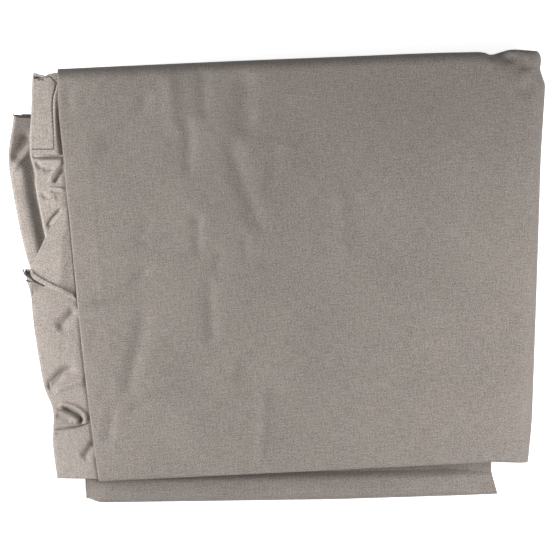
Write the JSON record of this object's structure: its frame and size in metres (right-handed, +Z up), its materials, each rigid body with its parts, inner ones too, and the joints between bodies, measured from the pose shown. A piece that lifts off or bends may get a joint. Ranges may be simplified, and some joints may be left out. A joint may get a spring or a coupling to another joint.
{
  "type": "spa cover",
  "caption": "Woven fabric spa cover folded flat into a two-packet bundle, with an elasticated hem and a turned corner at its left edge; it opens along its spine fold",
  "frame": {"origin": "middle of the folded bundle's footprint, on the surface that it lies on", "axes": "+X to the right, towards the spine fold; +Y to the back; +Z up, through the thickness"},
  "size_m": [0.4279, 0.3632, 0.052],
  "materials": {
    "cloth": "matt taupe woven polyester, fine plain weave with a faint sheen and soft creases",
    "thread": "dark brown, nearly black polyester sewing thread",
    "elastic": "white braided elastic band, matt"
  },
  "bodies": {
    "lower_half": {"lower_wrap": "cloth", "lower_lay_bottom": "cloth", "lower_lay_middle": "cloth", "lower_lay_top": "cloth", "back_skirt_layer": "cloth", "back_layer_overlock": "thread", "spine_outer_fold": "cloth", "spine_inner_folds": "cloth"},
    "upper_half": {"upper_lay_bottom": "cloth", "upper_lay_middle": "cloth", "upper_lay_top": "cloth", "top_sheet": "cloth", "top_sheet_hem": "cloth", "hem_casing": "cloth", "casing_elastic": "elastic", "casing_topstitch": "thread", "casing_cross_stitch": "thread", "casing_bar_tack": "thread", "gathered_hem": "cloth", "lower_left_skirt": "cloth", "seam_end_thread": "thread"},
    "corner_flap_body": {"corner_flap": "cloth", "corner_flap_hem": "cloth", "flap_hem_stitch": "thread"}
  },
  "joints": [
    {"name": "upper_half_fold", "type": "hinge", "parent": "lower_half", "child": "upper_half", "pos_m": [0.20651, 0, 0.026], "axis": [0.0419, 0.9991, 0], "range_deg": [0, 180], "deforming": ["spine_outer_fold", "spine_inner_folds"]},
    {"name": "corner_flap_fold", "type": "hinge", "parent": "upper_half", "child": "corner_flap_body", "pos_m": [-0.16906, 0.05445, 0.0454], "axis": [-0.4949, -0.869, 0], "range_deg": [0, 160]}
  ]
}
